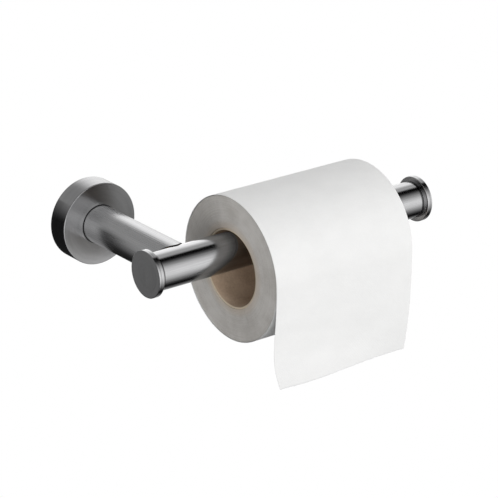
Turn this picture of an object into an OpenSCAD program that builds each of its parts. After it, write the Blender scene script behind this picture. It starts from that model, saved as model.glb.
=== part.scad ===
// Wall-mounted toilet paper holder: a round cover flange, a post and a
// horizontal bar with end caps, holding one roll of paper.
// Millimetres. The wall is the plane y = 0 and the room is at -Y, +X runs
// along the bar to its free end and +Z is up. The origin is the centre of
// the wall bracket's back.

/* [Flange] */
// Outside diameter of the cover flange
flange_d = 50; // [46:1:70]
// Depth of the cover flange, from the wall to its face
flange_h = 13.7; // [12:0.1:24]
// Thickness of the flange's round side
flange_rim = 3.2; // [2:0.1:4]
// Thickness of the flange's face
flange_face = 3; // [2:0.1:4]
// Radius of the edge around the flange's face
flange_edge = 0.4; // [0.1:0.1:1]

/* [Wall bracket] */
// Thickness of the wall bracket
bracket_t = 6; // [5.5:0.5:7]
// Height of the boss that centres the post on the bracket
boss_h = 2.5; // [1.5:0.5:4]
// Width of each slot for a wall screw
slot_w = 4.4; // [3.5:0.1:5.4]
// Length of each slot for a wall screw, end to end
slot_l = 5.6; // [5.5:0.1:6]
// Gap between the bracket's rim and the inside of the flange
bracket_gap = 0.5; // [0.3:0.1:0.8]

/* [Post] */
// Outside diameter of the post
post_d = 22.8; // [19:0.2:24]
// Wall thickness of the post's tube
post_wall = 2; // [1.5:0.1:2.6]
// Distance from the wall to the axis of the bar
reach = 94; // [78:1:130]
// Gap around the post in the flange's hole
post_gap = 0.35; // [0.2:0.05:0.8]
// Shadow gap between the post's end and the bar
reveal = 0.6; // [0.3:0.1:1.2]
// Length of the plug in the post's wall end
foot_l = 16; // [12:1:24]
// Length of the neck in the post's bar end, measured from the bar
neck_l = 12; // [9:1:18]

/* [Bar] */
// Outside diameter of the bar
bar_d = 22.4; // [18.6:0.2:27]
// Wall thickness of the bar's tube
bar_wall = 1.5; // [1:0.1:2]
// Length of the bar over its caps
bar_len = 200; // [180:1:260]
// Distance from the post's axis to the near end of the bar
bar_back = 23.6; // [23:0.2:40]

/* [Caps] */
// How far each end cap stands out around the bar
cap_lip = 2.7; // [1.5:0.1:6]
// Thickness of each end cap
cap_t = 3.4; // [2.4:0.1:6]
// Length of the shoulder between the cap and the tube
cap_shoulder = 1; // [0.6:0.1:3]
// How far the shoulder stands proud of the bar
cap_step = 0.25; // [0.1:0.05:0.5]
// Width of the fine line between the shoulder and the tube
cap_line = 0.25; // [0.1:0.05:0.5]
// Radius of the edges of each cap
cap_edge = 0.35; // [0.1:0.05:0.8]
// Length of the spigot that holds each cap in the tube
spigot_l = 8; // [6:0.5:9]

/* [Fasteners] */
// Diameter of the countersunk screw between bracket and post
screw_d = 6; // [5:0.5:6]
// Diameter of the countersunk screw's head
screw_head_d = 11.3; // [10:0.1:12]
// Length of the countersunk screw, head included
screw_l = 20; // [14:1:24]
// Diameter of the bolt that ties the bar to the post
bolt_d = 5; // [4:0.5:5]
// Diameter of the tie bolt's head
bolt_head_d = 8.5; // [7:0.1:9.5]
// Height of the tie bolt's head
bolt_head_h = 5; // [4:0.1:6]
// Thickness of the washers under the tie bolt's head
washer_t = 1.2; // [0.8:0.1:1.6]
// Thickness of the saddle nut inside the bar
nut_t = 5; // [4:0.1:6]
// Length of the saddle nut along the bar
nut_l = 16; // [12:0.5:18]
// Diameter of the pin that stops the post turning
pin_d = 3; // [2:0.5:3]
// Diameter of the seals' round section
seal_d = 1.5; // [1:0.1:1.6]

/* [Paper] */
// Width of the roll
roll_w = 100; // [85:1:105]
// Outside diameter of the roll
roll_d = 87.3; // [60:0.1:120]
// Inside diameter of the cardboard core
core_d = 45.5; // [38:0.1:50]
// Wall thickness of the cardboard core
core_wall = 1.2; // [0.6:0.1:2]
// Distance from the post's axis to the roll
roll_x = 35.1; // [24:0.1:60]
// Thickness of the sheet
ply_t = 0.35; // [0.2:0.05:0.6]
// Drop of the loose sheet on the side of the post
drop_near = 58.4; // [20:0.2:150]
// Drop of the loose sheet on the side of the free end
drop_far = 63.4; // [20:0.2:150]

/* [Fits] */
// Gap all round between two pieces that fit together
fit = 0.05; // [0.02:0.01:0.1]
// Gap all round a screw in its plain hole
screw_gap = 0.25; // [0.1:0.05:0.5]
// Gap that keeps moving paper clear of what it turns in
paper_gap = 0.3; // [0.2:0.05:0.6]

/* [Hidden] */
$fn = 96;
// Overshoot of a cutting solid past the face that it cuts
cut = 1;
// Steps in a rounded edge
edge_steps = 4;

flange_r = flange_d / 2;
flange_in_r = flange_r - flange_rim;
post_r = post_d / 2;
post_in_r = post_r - post_wall;
bar_r = bar_d / 2;
bar_in_r = bar_r - bar_wall;

// The bracket fills the flange, and each slot sits midway between the post
// and the groove of the bracket's seal
bracket_r = flange_in_r - bracket_gap;
groove_r = flange_in_r - seal_d - 2 * fit;
slot_x = (post_r + groove_r) / 2;
boss_r = post_in_r - fit;

// Along the post's axis, counted from the wall
screw_sink = 0.3;
screw_head_h = (screw_head_d - screw_d) / 2;
foot_start = bracket_t + boss_h;
foot_end = bracket_t + foot_l;
bar_near = reach - bar_r;
neck_start = bar_near - neck_l;
nut_seat = reach - bar_in_r + fit;
nut_face = nut_seat + nut_t;
bolt_seat = neck_start - 2 * washer_t;

// The pin stands midway between the screw and the post's bore
pin_x = (screw_d / 2 + post_in_r) / 2;
pin_bottom = screw_sink + screw_head_h;
pin_top = foot_start + 6;

// Along the bar
bar_start = -bar_back;
bar_end = bar_len - bar_back;
tube_inset = cap_t + cap_shoulder + cap_line;
tube_l = bar_len - 2 * tube_inset;
cap_seal_z = cap_t + cap_shoulder + spigot_l / 2;
spigot_r = bar_in_r - fit;
cap_groove_r = bar_in_r - seal_d - fit;

// The core hangs on top of the bar
core_r = core_d / 2;
core_out_r = core_r + core_wall;
roll_r = roll_d / 2;
roll_z = bar_r + paper_gap - core_r;
wound_r = roll_r - ply_t - paper_gap;
// The outer ply is open where the sheet leaves it, so its tucked end lies
// clear behind the hanging sheet
ply_open = acos(1 - (ply_t + 2 * paper_gap) / roll_r);

function arc(x, y, r, from, to) = [
    for (i = [0:edge_steps])
        let (a = from + (to - from) * i / edge_steps)
            [x + r * cos(a), y + r * sin(a)]
];

// Turns +Z to point out of the wall
module outward() rotate([90, 0, 0]) children();

// Turns +Z to run along the bar
module along_bar() translate([0, -reach, 0]) rotate([0, 90, 0]) children();

// Turns +Z to run along the roll, with the X axis towards the room
module along_roll() {
    translate([roll_x, -reach, roll_z]) rotate([-90, 0, 0]) rotate([0, 90, 0])
        children();
}

module tube(r_out, r_in, length) {
    difference() {
        cylinder(r = r_out, h = length);
        translate([0, 0, -cut]) cylinder(r = r_in, h = length + 2 * cut);
    }
}

module ring_seal(r_out) {
    rotate_extrude() translate([r_out - seal_d / 2, 0]) circle(d = seal_d, $fn = 24);
}

module seal_groove(r_out, r_floor) {
    width = seal_d + 4 * fit;
    translate([0, 0, -width / 2]) tube(r_out + cut, r_floor, width);
}

module slot_cut() {
    run = slot_l - slot_w;
    translate([slot_x, 0, -cut]) linear_extrude(bracket_t + 2 * cut) {
        for (side = [-1, 1]) translate([side * run / 2, 0]) circle(d = slot_w);
        square([run, slot_w], center = true);
    }
}

module cap_solid() {
    cap_r = bar_r + cap_lip;
    shoulder_r = bar_r + cap_step;
    shoulder_z = cap_t + cap_shoulder;
    spigot_end = shoulder_z + spigot_l;
    lead_in = 0.5;
    difference() {
        rotate_extrude() polygon(concat(
            [[0, 0]],
            arc(cap_r - cap_edge, cap_edge, cap_edge, -90, 0),
            arc(cap_r - cap_edge, cap_t - cap_edge, cap_edge, 0, 90),
            [
                [shoulder_r, cap_t],
                [shoulder_r, shoulder_z],
                [spigot_r, shoulder_z],
                [spigot_r, spigot_end - lead_in],
                [spigot_r - lead_in, spigot_end],
                [0, spigot_end]
            ]
        ));
        translate([0, 0, cap_seal_z]) seal_groove(spigot_r, cap_groove_r);
    }
}

module at_left_end() translate([bar_start, 0, 0]) along_bar() children();

module at_right_end() {
    translate([bar_end, 0, 0]) mirror([1, 0, 0]) along_bar() children();
}

module wall_bracket() {
    color("darkgray") outward() difference() {
        union() {
            cylinder(r = bracket_r, h = bracket_t);
            cylinder(r = boss_r, h = foot_start);
        }
        for (side = [0, 180]) rotate([0, 0, side]) slot_cut();
        translate([0, 0, bracket_t / 2]) seal_groove(bracket_r, groove_r);
        translate([0, 0, -cut]) cylinder(d = screw_d + 2 * screw_gap, h = foot_start + 2 * cut);
        translate([0, 0, screw_sink - fit]) cylinder(
            r1 = screw_head_d / 2 + screw_gap,
            r2 = screw_d / 2 + screw_gap,
            h = screw_head_h
        );
        translate([0, 0, -cut])
            cylinder(r = screw_head_d / 2 + screw_gap, h = cut + screw_sink - fit);
        translate([pin_x, 0, pin_bottom]) cylinder(d = pin_d + fit, h = foot_start);
    }
}

module bracket_seal() {
    color("black") outward() translate([0, 0, bracket_t / 2]) ring_seal(flange_in_r - fit);
}

module bracket_screw() {
    socket_af = 4;
    socket_h = 2.4;
    color("silver") outward() difference() {
        union() {
            translate([0, 0, screw_sink])
                cylinder(r1 = screw_head_d / 2, r2 = screw_d / 2, h = screw_head_h);
            translate([0, 0, screw_sink]) cylinder(d = screw_d, h = screw_l);
        }
        translate([0, 0, screw_sink - cut])
            cylinder(d = socket_af / cos(30), h = socket_h + cut, $fn = 6);
    }
}

module locating_pin() {
    color("silver") outward() translate([pin_x, 0, pin_bottom + fit])
        cylinder(d = pin_d, h = pin_top - pin_bottom - 2 * fit);
}

module flange() {
    hole_r = post_r + post_gap;
    back = flange_h - flange_face;
    color("gray") outward() rotate_extrude() polygon(concat(
        [
            [hole_r, back],
            [flange_in_r, back],
            [flange_in_r, 0],
            [flange_r, 0]
        ],
        arc(flange_r - flange_edge, flange_h - flange_edge, flange_edge, 0, 90),
        arc(hole_r + flange_edge / 2, flange_h - flange_edge / 2, flange_edge / 2, 90, 180)
    ));
}

module post() {
    color("gray") difference() {
        outward() translate([0, 0, bracket_t]) tube(post_r, post_in_r, reach - bracket_t);
        translate([-post_d, 0, 0]) along_bar() cylinder(r = bar_r + reveal, h = 2 * post_d);
    }
}

module post_foot() {
    color("darkgray") outward() difference() {
        translate([0, 0, foot_start]) cylinder(r = post_in_r - fit, h = foot_end - foot_start);
        translate([0, 0, foot_start - cut])
            cylinder(r = screw_d / 2 + fit, h = foot_l + 2 * cut);
        translate([pin_x, 0, foot_start - cut])
            cylinder(d = pin_d + fit, h = pin_top - foot_start + cut);
    }
}

module post_neck() {
    color("darkgray") difference() {
        outward() translate([0, 0, neck_start]) cylinder(r = post_in_r - fit, h = reach - neck_start);
        translate([-post_d, 0, 0]) along_bar() cylinder(r = bar_r + fit, h = 2 * post_d);
        outward() translate([0, 0, neck_start - cut])
            cylinder(d = bolt_d + 2 * screw_gap, h = neck_l + bar_r);
    }
}

module tie_bolt() {
    tip = 1;
    socket_af = 4;
    socket_h = 2.5;
    color("silver") outward() difference() {
        union() {
            translate([0, 0, bolt_seat - bolt_head_h]) cylinder(d = bolt_head_d, h = bolt_head_h);
            translate([0, 0, bolt_seat]) cylinder(d = bolt_d, h = nut_face + tip - bolt_seat);
        }
        translate([0, 0, bolt_seat - bolt_head_h - cut])
            cylinder(d = socket_af / cos(30), h = socket_h + cut, $fn = 6);
    }
}

module lock_washer() {
    split = 1;
    color("silver") outward() translate([0, 0, bolt_seat]) difference() {
        tube(bolt_head_d / 2, bolt_d / 2 + screw_gap, washer_t);
        translate([0, -split / 2, -cut]) cube([bolt_head_d, split, washer_t + 2 * cut]);
    }
}

module flat_washer() {
    color("silver") outward() translate([0, 0, bolt_seat + washer_t])
        tube(bolt_head_d / 2 + 1, bolt_d / 2 + screw_gap, washer_t);
}

module saddle_nut() {
    half = bar_in_r - fit;
    color("darkgray") difference() {
        intersection() {
            translate([-nut_l / 2, 0, 0]) along_bar() cylinder(r = half, h = nut_l);
            translate([-nut_l, -nut_face, -half - cut])
                cube([2 * nut_l, nut_t + cut, 2 * (half + cut)]);
        }
        outward() translate([0, 0, nut_seat - cut])
            cylinder(r = bolt_d / 2 + fit, h = nut_t + 2 * cut);
    }
}

module bar() {
    color("gray") difference() {
        translate([bar_start + tube_inset, 0, 0]) along_bar() tube(bar_r, bar_in_r, tube_l);
        outward() translate([0, 0, bar_near - cut]) cylinder(
            d = bolt_d + 2 * screw_gap,
            h = cut + bar_r
        );
    }
}

module cap_left() {
    color("dimgray") at_left_end() cap_solid();
}

module cap_right() {
    color("dimgray") at_right_end() cap_solid();
}

module cap_seal_left() {
    color("black") at_left_end() translate([0, 0, cap_seal_z]) ring_seal(bar_in_r - fit / 2);
}

module cap_seal_right() {
    color("black") at_right_end() translate([0, 0, cap_seal_z]) ring_seal(bar_in_r - fit / 2);
}

module core() {
    color("tan") along_roll() tube(core_out_r, core_r, roll_w);
}

module paper_roll() {
    color("gainsboro") along_roll() tube(wound_r, core_out_r + fit, roll_w);
}

module outer_ply() {
    color("whitesmoke") along_roll() rotate([0, 0, ply_open])
        rotate_extrude(angle = 360 - ply_open)
            translate([roll_r - ply_t, 0]) square([ply_t, roll_w]);
}

module hanging_sheet() {
    top = roll_z - paper_gap;
    color("white") translate([roll_x, -(reach + roll_r - ply_t), 0]) outward()
        linear_extrude(ply_t) polygon([
            [0, top],
            [0, roll_z - drop_near],
            [roll_w, roll_z - drop_far],
            [roll_w, top]
        ]);
}

wall_bracket();
bracket_seal();
bracket_screw();
locating_pin();
flange();
post();
post_foot();
post_neck();
tie_bolt();
lock_washer();
flat_washer();
saddle_nut();
bar();
cap_left();
cap_right();
cap_seal_left();
cap_seal_right();
core();
paper_roll();
outer_ply();
hanging_sheet();
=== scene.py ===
"""Looks of a wall-mounted toilet paper holder: dark brushed metal, and a roll of
embossed tissue on a cardboard core. Metres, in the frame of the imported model:
the wall is y = 0, the room is at -Y, the bar runs along +X and +Z is up."""

import math

import bmesh
import bpy
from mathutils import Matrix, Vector, noise


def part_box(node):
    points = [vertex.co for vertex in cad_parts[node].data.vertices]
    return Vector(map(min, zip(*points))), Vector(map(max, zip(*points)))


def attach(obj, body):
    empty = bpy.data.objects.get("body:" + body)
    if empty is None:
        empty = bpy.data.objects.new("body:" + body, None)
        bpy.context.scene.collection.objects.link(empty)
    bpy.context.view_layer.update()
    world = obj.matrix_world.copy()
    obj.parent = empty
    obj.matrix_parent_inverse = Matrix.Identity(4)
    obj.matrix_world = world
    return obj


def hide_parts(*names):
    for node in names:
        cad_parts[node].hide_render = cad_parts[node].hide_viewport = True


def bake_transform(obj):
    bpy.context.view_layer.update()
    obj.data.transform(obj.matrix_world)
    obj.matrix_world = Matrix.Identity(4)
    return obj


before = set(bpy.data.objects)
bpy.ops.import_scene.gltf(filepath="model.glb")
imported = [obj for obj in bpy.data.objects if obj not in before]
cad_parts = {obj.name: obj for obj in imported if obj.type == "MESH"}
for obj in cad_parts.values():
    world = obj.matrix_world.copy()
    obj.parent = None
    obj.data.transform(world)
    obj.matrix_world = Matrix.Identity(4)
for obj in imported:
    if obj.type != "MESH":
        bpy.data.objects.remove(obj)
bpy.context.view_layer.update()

MM = 0.001
TAU = 2 * math.pi

# ---------------------------------------------------------------- sizes, from the frame

CORE_LOW, CORE_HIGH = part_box("core")
WOUND_LOW, WOUND_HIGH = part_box("paper_roll")
PLY_LOW, PLY_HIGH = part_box("outer_ply")
SHEET_LOW, SHEET_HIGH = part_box("hanging_sheet")

ROLL_LEFT, ROLL_RIGHT = PLY_LOW.x, PLY_HIGH.x
ROLL_W = ROLL_RIGHT - ROLL_LEFT
ROLL_MID = Vector((
    (ROLL_LEFT + ROLL_RIGHT) / 2,
    (CORE_LOW.y + CORE_HIGH.y) / 2,
    (CORE_LOW.z + CORE_HIGH.z) / 2,
))
CORE_R = (CORE_HIGH.z - CORE_LOW.z) / 2
CORE_WALL = 1.2 * MM
CORE_HALF = ROLL_W / 2 - 0.8 * MM   # half its length: the ends lie just inside the paper's
WOUND_R = (WOUND_HIGH.z - WOUND_LOW.z) / 2
SHEET_R = ROLL_MID.y - (SHEET_LOW.y + SHEET_HIGH.y) / 2
TUBE_LEFT, TUBE_RIGHT = (corner.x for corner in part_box("bar"))
RIM_LEFT, RIM_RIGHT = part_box("cap_left")[0].x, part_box("cap_right")[1].x

TISSUE = 0.14 * MM            # the two plies together
TUCK_R = WOUND_R + 0.3 * MM   # where the top turn goes in under itself
SEAM_TURN = math.radians(178)  # the tail piece ends behind the roll, out of sight
TUCK_TURN = math.radians(372)
LONG_DROP = ROLL_MID.z - SHEET_LOW.z   # the far corner hangs this far below the axis
SHORT_DROP = LONG_DROP - 5 * MM


def ease(x, low=0.0, high=1.0):
    """0 below low, 1 above high, and a smooth climb between them."""
    t = min(max((x - low) / (high - low), 0.0), 1.0)
    return t * t * (3 - 2 * t)


# ---------------------------------------------------------------- camera, light, floor

def add_camera():
    """A long lens, 37.4 degrees to the left of the bar's square view and 21.8 degrees above it."""
    azimuth, elevation = math.radians(-37.4), math.radians(21.8)
    distance = 1.42402
    target = Vector((0.07482, -0.06, -0.01935))
    back = Vector((
        math.sin(azimuth) * math.cos(elevation),
        -math.cos(azimuth) * math.cos(elevation),
        math.sin(elevation),
    ))
    data = bpy.data.cameras.new("camera")
    data.sensor_width = 36
    data.lens = 173.73
    camera = bpy.data.objects.new("camera", data)
    camera.location = target + back * distance
    camera.rotation_mode = "QUATERNION"
    camera.rotation_quaternion = (-back).to_track_quat("-Z", "Y")
    bpy.context.scene.collection.objects.link(camera)
    bpy.context.scene.camera = camera


class Tree:
    """A node tree with short calls for the nodes that this scene uses."""

    def __init__(self, tree):
        self.tree = tree

    def node(self, kind, inputs=(), **settings):
        made = self.tree.nodes.new(kind)
        for key, value in settings.items():
            setattr(made, key, value)
        for key, value in dict(inputs).items():
            self.put(made.inputs[key], value)
        return made

    def put(self, socket, value):
        if isinstance(value, bpy.types.NodeSocket):
            self.tree.links.new(value, socket)
        else:
            socket.default_value = value

    def math(self, operation, a, b=0.0, clamp=False):
        return self.node("ShaderNodeMath", {0: a, 1: b}, operation=operation, use_clamp=clamp).outputs[0]

    def add(self, a, b):
        return self.math("ADD", a, b)

    def times(self, a, b):
        return self.math("MULTIPLY", a, b)

    def less(self, a, b):
        return self.math("SUBTRACT", a, b)

    def length(self, a, b):
        return self.math("SQRT", self.add(self.times(a, a), self.times(b, b)))

    def ramp(self, value, low, high, to_low=0.0, to_high=1.0, smooth=True):
        made = self.node("ShaderNodeMapRange", interpolation_type="SMOOTHSTEP" if smooth else "LINEAR")
        for socket, item in zip(made.inputs, (value, low, high, to_low, to_high)):
            self.put(socket, item)
        return made.outputs[0]

    def round_and_out(self, p, q, radius, slow, quick):
        """A place for ring patterns: it changes slowly round the circle and quickly out from it."""
        out = self.times(radius, quick)
        cosine, sine = self.math("DIVIDE", p, radius), self.math("DIVIDE", q, radius)
        return self.vector(self.add(self.times(cosine, slow), self.times(out, 0.62)),
                           self.add(self.times(sine, slow), self.times(out, -0.81)), out)

    def apart(self, vector):
        return self.node("ShaderNodeSeparateXYZ", {0: vector}).outputs

    def vector(self, x, y, z=0.0):
        return self.node("ShaderNodeCombineXYZ", {0: x, 1: y, 2: z}).outputs[0]

    def noise(self, place, scale, detail=2.0, roughness=0.5):
        made = self.node("ShaderNodeTexNoise", {
            "Vector": place, "Scale": scale, "Detail": detail, "Roughness": roughness,
        })
        return made.outputs["Fac"]

    def blend(self, share, a, b):
        """Colour a where share is 0, and colour b where it is 1."""
        made = self.node("ShaderNodeMix", data_type="RGBA")
        self.put(made.inputs["Factor"], share)
        self.put(made.inputs[6], a)
        self.put(made.inputs[7], b)
        return made.outputs[2]


def add_studio_light():
    """Soft cards round the holder: a wide one in front, one behind to the right, and dark gaps between."""
    world = bpy.data.worlds.new("studio")
    bpy.context.scene.world = world
    world.use_nodes = True
    world.node_tree.nodes.clear()
    t = Tree(world.node_tree)
    x, y, z = t.apart(t.node("ShaderNodeTexCoord").outputs["Generated"])[:3]
    ahead = t.math("DIVIDE", y, t.math("MAXIMUM", t.length(y, z), 1e-4))
    to_front = t.math("MULTIPLY", ahead, -1.0, clamp=True)
    to_back = t.math("MULTIPLY", ahead, 1.0, clamp=True)
    above = t.ramp(z, -0.02, 0.02)
    below = t.less(1.0, above)

    # The card in front is brightest straight ahead, weaker to the right and weakest at the far left.
    front_high = t.math("POWER", t.ramp(to_front, 0.22, 1.0, smooth=False), 1.9)
    front_low = t.math("POWER", to_front, 3.0)
    front = t.add(t.times(front_high, above), t.times(front_low, below))
    front = t.times(front, t.ramp(x, -0.3, 0.05, 1.6, 2.2))
    front = t.times(front, t.times(t.ramp(x, 0.1, 0.6, 1.0, 0.6), t.ramp(x, -0.98, -0.8, 0.3, 1.0)))

    # The high card behind comes in two steps and is brighter to the right, but for its far side.
    high = t.add(t.ramp(ahead, 0.0, 0.18, 0.0, 0.42), t.ramp(to_back, 0.42, 0.85, 0.0, 0.58))
    far_side = t.times(t.ramp(x, 0.57, 0.65), t.ramp(to_back, 0.8, 0.92, 0.0, 0.28))
    high = t.times(high, t.times(t.ramp(x, 0.05, 0.5, 0.5, 1.6), t.less(1.0, far_side)))

    # The low card behind is faint, with a dark floor under its left part.
    low_left = t.times(t.ramp(z, -0.6, -0.3, 0.03, 0.29), t.ramp(x, 0.05, -0.2))
    low = t.times(to_back, t.add(t.ramp(x, 0.1, 0.5, 0.0, 0.6), low_left))
    lifted = t.ramp(z, -0.27, 0.0)
    back = t.add(t.times(high, lifted), t.times(low, t.less(1.0, lifted)))

    rays = t.node("ShaderNodeLightPath").outputs
    strength = t.times(t.add(front, back), t.ramp(rays["Is Glossy Ray"], 0.0, 1.0, 1.0, 1.22))
    light = t.node("ShaderNodeBackground", {"Color": (1, 1, 1, 1), "Strength": strength})
    paper_white = t.node("ShaderNodeBackground", {"Color": (1, 1, 1, 1), "Strength": 1.0})
    mixed = t.node("ShaderNodeMixShader", {
        0: rays["Is Camera Ray"], 1: light.outputs[0], 2: paper_white.outputs[0],
    })
    t.node("ShaderNodeOutputWorld", {0: mixed.outputs[0]})


def add_soft_lamp(name, place, size, power):
    """A wide lamp that lifts the paper and card, kept out of the metal's reflections."""
    data = bpy.data.lights.new(name, "AREA")
    data.shape = "DISK"
    data.size = size
    data.energy = power
    lamp = bpy.data.objects.new(name, data)
    lamp.location = place
    lamp.rotation_mode = "QUATERNION"
    lamp.rotation_quaternion = (ROLL_MID - lamp.location).to_track_quat("-Z", "Y")
    lamp.visible_glossy = False
    lamp.visible_camera = False
    bpy.context.scene.collection.objects.link(lamp)


def add_stage_card(name, corners, faces, tone, seen_by, fade=None):
    """A flat card of one light tone, seen only in the named ways.
    fade is the two heights between which the card fades away, where its top edge is soft."""
    mesh = bpy.data.meshes.new(name)
    mesh.from_pydata(corners, [], faces)
    card = bpy.data.objects.new(name, mesh)
    bpy.context.scene.collection.objects.link(card)
    material = bpy.data.materials.new(name)
    material.use_nodes = True
    material.node_tree.nodes.clear()
    t = Tree(material.node_tree)
    surface = t.node("ShaderNodeEmission", {"Color": (1, 1, 1, 1), "Strength": tone}).outputs[0]
    if fade:
        height = t.apart(t.node("ShaderNodeTexCoord").outputs["Object"])[2]
        clear = t.node("ShaderNodeBsdfTransparent").outputs[0]
        surface = t.node("ShaderNodeMixShader", {0: t.ramp(height, *fade), 1: surface, 2: clear}).outputs[0]
    t.node("ShaderNodeOutputMaterial", {0: surface})
    mesh.materials.append(material)
    for way in ("camera", "diffuse", "glossy", "transmission", "shadow"):
        setattr(card, "visible_" + way, way in seen_by)


def add_stage():
    add_soft_lamp("top_lamp", place=(0.3, -0.25, 1.6), size=1.4, power=8.8)
    far, level = 60.0, -0.45
    corners = [(-far, -far, level), (far, -far, level), (far, far, level), (-far, far, level)]
    add_stage_card("floor", corners, [(0, 1, 2, 3)], 1.0, {"camera"})

    # A dark ring round the flange's left and lower side, just behind its back, for its side to mirror.
    steps, behind = 24, 4 * MM
    ring_radii = 25.6 * MM, 56 * MM
    ring = []
    for k in range(steps + 1):
        turn = math.radians(140 + 170 * k / steps)
        ring += [(r * math.cos(turn), behind, r * math.sin(turn)) for r in ring_radii]
    quads = [(2 * k, 2 * k + 1, 2 * k + 3, 2 * k + 2) for k in range(steps)]
    add_stage_card("dark_card", ring, quads, 0.02, {"glossy"}, fade=(4 * MM, 32 * MM))


# ---------------------------------------------------------------- materials

def new_material(name):
    material = bpy.data.materials.new(name)
    material.use_nodes = True
    material.node_tree.nodes.clear()
    return material, Tree(material.node_tree)


def finish_material(t, height=None, depth=0.1 * MM, **sockets):
    """Wires one Principled shader, with a bump where there is a height, to the material's output."""
    sockets = {key.replace("_", " "): value for key, value in sockets.items()}
    if height is not None:
        bump = t.node("ShaderNodeBump", {"Height": height, "Distance": depth, "Strength": 1.0})
        sockets["Normal"] = bump.outputs[0]
    shader = t.node("ShaderNodeBsdfPrincipled", sockets)
    t.node("ShaderNodeOutputMaterial", {0: shader.outputs[0]})


def add_inputs(group, **defaults):
    for name, value in defaults.items():
        kind = "NodeSocketColor" if isinstance(value, tuple) else "NodeSocketFloat"
        socket = group.interface.new_socket(name.replace("_", " "), in_out="INPUT", socket_type=kind)
        socket.default_value = value


def add_outputs(group, **kinds):
    for name, kind in kinds.items():
        group.interface.new_socket(name, in_out="OUTPUT", socket_type="NodeSocket" + kind)


def make_brushing():
    """Fine brushing: long streaks close together, with wider bands and soft patches over them."""
    group = bpy.data.node_groups.new("brushing", "ShaderNodeTree")
    add_inputs(group, Along=0.0, Across=0.0, Fineness=7000.0, Base_Roughness=0.2, Spread=0.08,
               Tone=(0.36, 0.36, 0.365, 1.0))
    add_outputs(group, Colour="Color", Roughness="Float", Height="Float")
    t = Tree(group)
    given = t.node("NodeGroupInput").outputs
    place = t.vector(t.times(given["Along"], 90.0), t.times(given["Across"], given["Fineness"]))
    streaks = t.noise(place, 1.0, 3.0, 0.7)
    bands = t.noise(place, 0.2, 3.0, 0.6)
    patches = t.noise(place, 0.04, 2.0)
    swing = t.add(t.less(bands, 0.5), t.less(t.times(t.add(streaks, patches), 0.5), 0.5))
    rough = t.add(given["Base Roughness"], t.times(swing, given["Spread"]))
    shade = t.ramp(t.add(t.add(streaks, patches), bands), 1.0, 2.0, 0.82, 1.18, smooth=False)
    colour = t.node("ShaderNodeVectorMath", {0: given["Tone"], "Scale": shade}, operation="SCALE").outputs[0]
    t.node("NodeGroupOutput", {0: colour, 1: rough, 2: streaks})
    return group


def soft_lines(t, x, places, width, dark):
    """1 over the metal, and dark in a soft line of this width at each of the places along x."""
    shade = 1.0
    for place in places:
        away = t.math("ABSOLUTE", t.less(x, place))
        shade = t.times(shade, t.ramp(away, 0.15 * width, 0.5 * width, dark, 1.0))
    return shade


def brushed_metal(name, brushing, axis, centre, turned, roughness, tone=0.36, lines=None, side=None):
    """Dark satin metal. Its brushing runs along the axis, or round it where the piece is turned.
    lines is the places, width and darkness of fine dark lines along the axis.
    side is the radius beyond which the tone is another, and that tone."""
    material, t = new_material(name)
    from_centre = t.node("ShaderNodeMapping", {
        "Vector": t.node("ShaderNodeTexCoord").outputs["Object"],
        "Location": (0.0, -centre[0], -centre[1]) if axis == "X" else (-centre[0], 0.0, -centre[1]),
    }).outputs[0]
    x, y, z = t.apart(from_centre)[:3]
    length, p, q = (x, y, z) if axis == "X" else (y, x, z)
    angle, radius = t.math("ARCTAN2", p, q), t.length(p, q)
    along, across = length, t.times(angle, 0.011)
    if turned:
        along, across = t.times(angle, 0.02), t.add(length, radius)
    share = 1.0
    if lines:
        share = soft_lines(t, length, *lines)
    if side:
        side_radius, side_tone = side
        share = t.ramp(radius, side_radius, side_radius + 0.2 * MM, 1.0, side_tone / tone)
    satin = t.node("ShaderNodeVectorMath", {0: (tone, tone, 1.01 * tone), "Scale": share},
                   operation="SCALE").outputs[0]
    grain = t.node("ShaderNodeGroup", {
        "Along": along, "Across": across, "Base Roughness": roughness, "Tone": satin,
    }, node_tree=brushing).outputs
    finish_material(t, Base_Color=grain["Colour"], Roughness=grain["Roughness"], Metallic=1.0,
                    height=grain["Height"], depth=0.0015 * MM)
    return material


def cast_metal(name, tone, roughness, grain, depth):
    """Metal as it comes from casting, turning or plating: speckled, with a fine skin."""
    material, t = new_material(name)
    place = t.node("ShaderNodeTexCoord").outputs["Object"]
    speckle = t.noise(place, grain, 4.0, 0.6)
    clouds = t.noise(place, grain / 9, 2.0)
    dark = tuple(0.72 * c for c in tone[:3]) + (1.0,)
    colour = t.blend(t.ramp(t.add(speckle, clouds), 0.7, 1.3), dark, tone)
    rough = t.ramp(speckle, 0.3, 0.7, roughness - 0.06, roughness + 0.08)
    finish_material(t, Base_Color=colour, Roughness=rough, Metallic=1.0, height=speckle, depth=depth)
    return material


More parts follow.
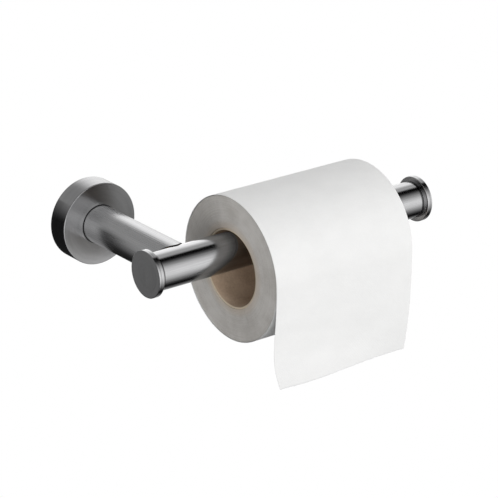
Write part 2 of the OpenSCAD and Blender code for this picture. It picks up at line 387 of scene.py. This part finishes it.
def tissue_paper():
    """Soft white tissue: crepe lines across the sheet and rows of small embossed dots."""
    material, t = new_material("tissue_paper")
    lay = t.node("ShaderNodeAttribute", attribute_name="lay").outputs["Vector"]
    across, along, to_end = t.apart(lay)[:3]
    crepe = t.noise(t.vector(t.times(across, 300.0), t.times(along, 3200.0)), 1.0, 3.0, 0.6)
    fibres = t.noise(lay, 1500.0, 4.0, 0.65)
    dot_across, dot_along = t.times(across, TAU / (1.6 * MM)), t.times(along, TAU / (1.9 * MM))
    dots = t.times(t.math("SINE", dot_across), t.math("SINE", dot_along))
    dimples = t.ramp(dots, 0.2, 0.9)
    clouds = t.noise(lay, 60.0, 3.0)
    quilting = t.noise(lay, 260.0, 2.0)
    height = t.add(t.add(t.times(crepe, 0.7), t.times(fibres, 0.6)), t.times(dimples, -0.6))
    height = t.add(height, t.times(quilting, 3.0))
    shade = t.add(t.times(clouds, 0.5), t.times(fibres, 0.5))
    colour = t.blend(t.ramp(shade, 0.3, 0.7), (0.815, 0.815, 0.81, 1), (0.855, 0.855, 0.85, 1))
    # Darker along the last 0.9 mm before the torn end.
    colour = t.blend(t.ramp(to_end, 0.0, 0.9 * MM, 0.7, 0.0), colour, (0.7, 0.7, 0.7, 1))
    finish_material(t, Base_Color=colour, Roughness=0.95, Specular_IOR_Level=0.2,
                    height=height, depth=0.05 * MM)
    return material


def from_roll_middle(t):
    """Object coordinates, counted from the middle of the roll."""
    return t.node("ShaderNodeMapping", {
        "Vector": t.node("ShaderNodeTexCoord").outputs["Object"], "Location": tuple(-ROLL_MID),
    }).outputs[0]


def roll_edge_paper():
    """The cut edge of many turns of tissue: warm grey, with rings and a little dust in the cut."""
    material, t = new_material("roll_edge_paper")
    place = from_roll_middle(t)
    x, y, z = t.apart(place)[:3]
    radius = t.length(y, z)
    rings = t.noise(t.round_and_out(y, z, radius, 1.4, 2200.0), 1.0, 3.0, 0.6)
    clouds = t.noise(place, 90.0, 3.0, 0.55)
    fibres = t.noise(place, 1600.0, 3.0, 0.6)
    shade = t.add(t.add(t.times(rings, 0.4), t.times(clouds, 0.5)), t.times(fibres, 0.3))
    grey = t.blend(t.ramp(shade, 0.42, 0.78), (0.7, 0.67, 0.63, 1), (0.88, 0.855, 0.82, 1))
    near_core = t.ramp(radius, CORE_R, CORE_R + 6 * MM, 0.45, 0.0)
    colour = t.blend(near_core, grey, (0.75, 0.62, 0.48, 1))
    # The metal mirrors the paper round the core as if it lay in deep shade.
    mirrored = t.node("ShaderNodeLightPath").outputs["Is Glossy Ray"]
    shaded = t.times(mirrored, t.ramp(radius, CORE_R, CORE_R + 13 * MM, 0.75, 0.0))
    colour = t.blend(shaded, colour, (0.11, 0.115, 0.125, 1))
    finish_material(t, Base_Color=colour, Roughness=0.95, Specular_IOR_Level=0.2,
                    height=t.add(fibres, rings), depth=0.12 * MM)
    return material


def core_board():
    """Brown board wound in a spiral: fibres, a lapped seam and a paler cut edge. In the metal's reflections
    that edge gets painted shade.
    """
    material, t = new_material("core_board")
    place = from_roll_middle(t)
    x, y, z = t.apart(place)[:3]
    seam_pitch, seam_start = 62 * MM, 100.72   # the whole turns of the start keep the sum above zero
    wound = t.add(t.math("DIVIDE", x, seam_pitch), t.math("DIVIDE", t.math("ARCTAN2", y, z), TAU))
    lap = t.math("FRACT", t.add(wound, seam_start))
    seam = t.times(t.ramp(lap, 0.0, 0.012), t.ramp(lap, 0.97, 1.0, 1.0, 0.0))
    fibres = t.noise(place, 700.0, 5.0, 0.65)
    clouds = t.noise(place, 70.0, 3.0)
    shade = t.add(t.times(fibres, 0.5), t.times(clouds, 0.6))
    brown = t.blend(t.ramp(shade, 0.35, 0.75), (0.56, 0.41, 0.29, 1), (0.76, 0.59, 0.44, 1))
    brown = t.blend(t.less(1.0, seam), brown, (0.36, 0.25, 0.17, 1))
    cut_end = t.ramp(t.math("ABSOLUTE", x), CORE_HALF - 0.4 * MM, CORE_HALF - 0.1 * MM)
    # Painted shade: in the metal's reflections only, the cut edge is dark grey instead of pale.
    mirrored = t.node("ShaderNodeLightPath").outputs["Is Glossy Ray"]
    pale_edge_and_mirrored_shade = t.blend(mirrored, (0.84, 0.72, 0.56, 1), (0.25, 0.24, 0.23, 1))
    brown = t.blend(cut_end, brown, pale_edge_and_mirrored_shade)
    finish_material(t, Base_Color=brown, Roughness=0.85, Specular_IOR_Level=0.3,
                    height=t.add(t.times(seam, 0.8), t.times(fibres, 0.3)), depth=0.12 * MM)
    return material


def seal_rubber():
    """Matt black rubber with a bloom of dust."""
    material, t = new_material("seal_rubber")
    place = t.node("ShaderNodeTexCoord").outputs["Object"]
    bloom = t.noise(place, 900.0, 4.0, 0.6)
    colour = t.blend(t.ramp(bloom, 0.4, 0.7), (0.012, 0.012, 0.013, 1), (0.035, 0.034, 0.033, 1))
    finish_material(t, Base_Color=colour, Roughness=t.ramp(bloom, 0.3, 0.7, 0.5, 0.75),
                    height=bloom, depth=0.01 * MM)
    return material


# ---------------------------------------------------------------- pieces

def add_piece(name, mesh, material, sharp=35):
    """Links a finished mesh, smooth except where its faces meet at more than the sharp angle."""
    mesh.materials.clear()
    mesh.materials.append(material)
    for face in mesh.polygons:
        face.use_smooth = True
    mesh.set_sharp_from_angle(angle=math.radians(sharp))
    piece = bpy.data.objects.new(name, mesh)
    bpy.context.scene.collection.objects.link(piece)
    return piece


def closed_sheet(name, place, columns, rows, thickness):
    """A thin closed sheet over a grid.
    place(u, v) gives a point of its middle, and where that point lies on the cut sheet."""
    bm = bmesh.new()
    lay = bm.verts.layers.float_vector.new("lay")
    middle = [[place(i / columns, j / rows) for i in range(columns + 1)] for j in range(rows + 1)]

    def across(j, i):
        return middle[j][min(i + 1, columns)][0] - middle[j][max(i - 1, 0)][0]

    def along(j, i):
        return middle[min(j + 1, rows)][i][0] - middle[max(j - 1, 0)][i][0]

    sides = []
    for side in (0.5, -0.5):
        grid = []
        for j in range(rows + 1):
            line = []
            for i in range(columns + 1):
                out = across(j, i).cross(along(j, i)).normalized()
                vert = bm.verts.new(middle[j][i][0] + out * side * thickness)
                vert[lay] = middle[j][i][1]
                line.append(vert)
            grid.append(line)
        sides.append(grid)
    front, back = sides
    for j in range(rows):
        for i in range(columns):
            bm.faces.new((front[j][i], front[j][i + 1], front[j + 1][i + 1], front[j + 1][i]))
            bm.faces.new((back[j][i], back[j + 1][i], back[j + 1][i + 1], back[j][i + 1]))
    rim = [(0, i) for i in range(columns)] + [(j, columns) for j in range(rows)]
    rim += [(rows, i) for i in range(columns, 0, -1)] + [(j, 0) for j in range(rows, 0, -1)]
    for (j, i), (k, m) in zip(rim, rim[1:] + rim[:1]):
        bm.faces.new((front[k][m], front[j][i], back[j][i], back[k][m]))
    mesh = bpy.data.meshes.new(name)
    bm.to_mesh(mesh)
    bm.free()
    return mesh


def on_roll(turn, radius, x):
    """A point on the roll. The turn starts at the front and climbs over the top."""
    return Vector((x, ROLL_MID.y - radius * math.cos(turn), ROLL_MID.z + radius * math.sin(turn)))


def cut_edge(u, s):
    """How far the slit side edges of the sheet wander, nothing away from them."""
    wander = noise.noise(Vector((s * 220, 3.1 if u < 0.5 else 8.7, 0))) * 0.12 * MM
    return wander * max(0.0, 1 - min(u, 1 - u) * 40)


def hang_offset(u, drop):
    """How far the hanging part leaves its plane: its near edge curls out, its far edge swings back."""
    bow_back, bow_middle, bow_spread = 1.9 * MM, 38 * MM, 19.8 * MM
    curl_rate, curl_start = 0.062 * MM, 44 * MM
    swing_back = 5.7 * MM
    bow = bow_back * math.exp(-((drop - bow_middle) / bow_spread) ** 2)
    curl = curl_rate * (max(0.0, drop - curl_start) / MM) ** 1.6
    near = bow - curl
    far = swing_back * (drop / LONG_DROP) ** 2.3
    ripple = 0.25 * MM * math.sin(u * 9.0 + drop * 40) * ease(drop, 8 * MM, 40 * MM)
    return near + (far - near) * ease(u) + ripple


def tail_place(u, v):
    """The sheet from behind the roll, over the top, and down to its torn end."""
    over = SHEET_R * SEAM_TURN
    drop_end = SHORT_DROP + (LONG_DROP - SHORT_DROP) * u
    s = v * (over + drop_end)
    x = ROLL_LEFT + ROLL_W * u + cut_edge(u, s)
    lay = Vector((x, s, over + drop_end - s))
    if s <= over:
        return on_roll((over - s) / SHEET_R, SHEET_R, x), lay
    drop = s - over
    torn = noise.noise(Vector((u * 160, 0.5, 0))) * 0.25 * MM * ease(drop, drop_end - 1.5 * MM, drop_end)
    spot = Vector((x, ROLL_MID.y - SHEET_R + hang_offset(u, drop), ROLL_MID.z - drop + torn))
    return spot, lay


def wrap_place(u, v):
    """The rest of the top turn: down the back, under the roll, and in under the tail."""
    turn = SEAM_TURN + (TUCK_TURN - SEAM_TURN) * (1 - v)
    tucked = ease(turn, math.radians(318), math.radians(352))
    radius = SHEET_R + (TUCK_R - SHEET_R) * tucked
    s = SHEET_R * (SEAM_TURN - turn)
    x = ROLL_LEFT + ROLL_W * u + cut_edge(u, s)
    return on_roll(turn, radius, x), Vector((x, s, ROLL_W))


def make_tissue(paper):
    tail_mesh = closed_sheet("tissue_tail", tail_place, columns=100, rows=150, thickness=TISSUE)
    tail = add_piece("tissue_tail", tail_mesh, paper)
    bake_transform(tail)
    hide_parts("outer_ply", "hanging_sheet")

    wrap_mesh = closed_sheet("tissue_wrap", wrap_place, columns=100, rows=90, thickness=TISSUE)
    wrap = add_piece("tissue_wrap", wrap_mesh, paper)
    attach(wrap, "ply")
    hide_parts("outer_ply")


def winding_tree(paper):
    """Geometry Nodes: one strip of paper wound in a spiral, its edges a little uneven from turn to turn."""
    tree = bpy.data.node_groups.new("winding", "GeometryNodeTree")
    tree.interface.new_socket("Geometry", in_out="OUTPUT", socket_type="NodeSocketGeometry")
    add_inputs(tree, Inner_Radius=0.0, Outer_Radius=0.0, Width=0.0, Strip=0.0, Turns=0.0,
               Unevenness=0.0, Seed=0.0)
    tree.interface.new_socket("Centre", in_out="INPUT", socket_type="NodeSocketVector")
    t = Tree(tree)
    given = t.node("NodeGroupInput").outputs
    spiral = t.node("GeometryNodeCurveSpiral", {
        "Resolution": 84, "Rotations": given["Turns"], "Start Radius": given["Inner Radius"],
        "End Radius": given["Outer Radius"], "Height": 0.0,
    }).outputs[0]
    upright = t.node("GeometryNodeSetCurveNormal", {"Curve": spiral}, mode="Z_UP").outputs[0]
    strip = t.node("GeometryNodeCurvePrimitiveQuadrilateral", {
        "Width": given["Strip"], "Height": given["Width"],
    }).outputs[0]
    wound = t.node("GeometryNodeCurveToMesh", {
        "Curve": upright, "Profile Curve": strip, "Fill Caps": True,
    }).outputs[0]
    p, q, side = t.apart(t.node("GeometryNodeInputPosition").outputs[0])[:3]
    place = t.round_and_out(p, q, t.length(p, q), 1.5, 2600.0)
    place = t.node("ShaderNodeVectorMath", {0: place, 1: t.vector(given["Seed"], t.times(side, 400.0))},
                   operation="ADD").outputs[0]
    swing = t.less(t.noise(place, 1.0, 2.0, 0.7), 0.5)
    uneven = t.times(swing, t.times(given["Unevenness"], t.math("SIGN", side)))
    moved = t.node("GeometryNodeSetPosition", {
        "Geometry": wound,
        "Position": t.node("ShaderNodeVectorMath", {
            0: t.vector(t.add(side, uneven), p, q), 1: given["Centre"],
        }, operation="ADD").outputs[0],
    }).outputs[0]
    real = t.node("GeometryNodeRealizeInstances", {"Geometry": moved}).outputs[0]
    dressed = t.node("GeometryNodeSetMaterial", {"Geometry": real, "Material": paper}).outputs[0]
    t.node("NodeGroupOutput", {0: dressed})
    return tree


def make_wound_paper(paper):
    sizes = {
        "Inner Radius": CORE_R + 0.11 * MM, "Outer Radius": WOUND_R + 0.1 * MM, "Width": ROLL_W - 1.0 * MM,
        "Strip": 0.2 * MM, "Turns": 84.47, "Unevenness": 0.25 * MM, "Seed": 4.0, "Centre": ROLL_MID,
    }
    tree = winding_tree(paper)
    seed_mesh = bpy.data.meshes.new("winding")
    holder = bpy.data.objects.new("winding", seed_mesh)
    bpy.context.scene.collection.objects.link(holder)
    modifier = holder.modifiers.new("winding", "NODES")
    modifier.node_group = tree
    for item in tree.interface.items_tree:
        if item.in_out == "INPUT":
            modifier[item.identifier] = sizes[item.name]
    evaluated = holder.evaluated_get(bpy.context.evaluated_depsgraph_get())
    mesh = bpy.data.meshes.new_from_object(evaluated)
    bpy.data.objects.remove(holder)
    mesh.name = "wound_paper"
    bm = bmesh.new()
    bm.from_mesh(mesh)
    bmesh.ops.recalc_face_normals(bm, faces=bm.faces)
    bm.to_mesh(mesh)
    bm.free()
    wound = add_piece("wound_paper", mesh, paper)
    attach(wound, "roll")
    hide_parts("paper_roll")


def make_core(board):
    """The cardboard tube, its cut ends slightly soft and out of true."""
    around, along = 128, 12
    inner, outer, half = CORE_R - CORE_WALL, CORE_R, CORE_HALF
    soft, depth = 0.2 * MM, 0.15 * MM
    rings = [(inner, half * (1 - 2 * k / along)) for k in range(along + 1)]
    rings[0], rings[-1] = (inner, half - soft), (inner, soft - half)
    rings += [(inner + soft, -half), (outer - soft, -half), (outer, soft - half), (outer, half - soft),
              (outer - soft, half), (inner + soft, half)]
    bm = bmesh.new()
    loops = []
    for radius, x in rings:
        loop = []
        end, layer = (1, 2) if x > 0 else (-1, 9)   # each end wobbles in its own layer of the noise
        for k in range(around):
            turn = TAU * k / around
            wobble = noise.noise(Vector((math.cos(turn) * 4, math.sin(turn) * 4, layer))) * depth
            push = wobble * ease(abs(x), half - 1 * MM, half)
            loop.append(bm.verts.new(on_roll(turn, radius, ROLL_MID.x + x - abs(push) * end)))
        loops.append(loop)
    for a, b in zip(loops, loops[1:] + loops[:1]):
        for k in range(around):
            bm.faces.new((a[k], a[(k + 1) % around], b[(k + 1) % around], b[k]))
    bmesh.ops.recalc_face_normals(bm, faces=bm.faces)
    mesh = bpy.data.meshes.new("core_tube")
    bm.to_mesh(mesh)
    bm.free()
    core = add_piece("core_tube", mesh, board, sharp=60)
    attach(core, "roll")
    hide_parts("core")


def dress(material, *nodes):
    """Gives these CAD nodes their material."""
    for node in nodes:
        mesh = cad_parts[node].data
        mesh.materials.clear()
        mesh.materials.append(material)


def dress_metal():
    brushing = make_brushing()
    post_centre, bar_centre = (0.0, 0.0), (ROLL_MID.y, 0.0)
    flange_low, flange_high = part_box("flange")
    # Painted shade: the flange's side gets a darker tone than its face, though both are the same metal.
    side_radius, side_tone = (flange_high.x - flange_low.x) / 2 - 0.5 * MM, 0.275
    flange_metal = brushed_metal("brushed_flange", brushing, "Y", post_centre, turned=True, roughness=0.22,
                                 side=(side_radius, side_tone))
    dress(flange_metal, "flange")

    post_metal = brushed_metal("brushed_post", brushing, "Y", post_centre, turned=False, roughness=0.28,
                               tone=0.38)
    dress(post_metal, "post")

    # Painted shade: soft dark lines on the bar just beyond each cap, where the tube goes into the cap's rim.
    tube_end_painted_shade = (TUBE_LEFT + 0.6 * MM, TUBE_RIGHT - 0.6 * MM), 1.5 * MM, 0.3
    bar_metal = brushed_metal("brushed_bar", brushing, "X", bar_centre, turned=False, roughness=0.15,
                              lines=tube_end_painted_shade)
    dress(bar_metal, "bar")

    rim_lines = (RIM_LEFT + 1.4 * MM, RIM_RIGHT - 1.4 * MM), 0.8 * MM, 0.7
    cap_metal = brushed_metal("brushed_caps", brushing, "X", bar_centre, turned=True, roughness=0.17,
                              lines=rim_lines)
    dress(cap_metal, "cap_left", "cap_right")

    dress(cast_metal("cast_zinc", (0.42, 0.43, 0.44, 1), 0.42, 1400.0, 0.02 * MM), "wall_bracket")
    dress(cast_metal("turned_brass", (0.72, 0.53, 0.26, 1), 0.28, 2600.0, 0.004 * MM),
          "post_foot", "post_neck", "saddle_nut")
    dress(cast_metal("plated_steel", (0.6, 0.6, 0.62, 1), 0.3, 3000.0, 0.004 * MM),
          "bracket_screw", "tie_bolt", "lock_washer", "flat_washer", "locating_pin")
    dress(seal_rubber(), "bracket_seal", "cap_seal_left", "cap_seal_right")


add_camera()
add_studio_light()
add_stage()
dress_metal()
make_core(core_board())
make_wound_paper(roll_edge_paper())
make_tissue(tissue_paper())
bpy.context.scene.view_settings.view_transform = "Standard"
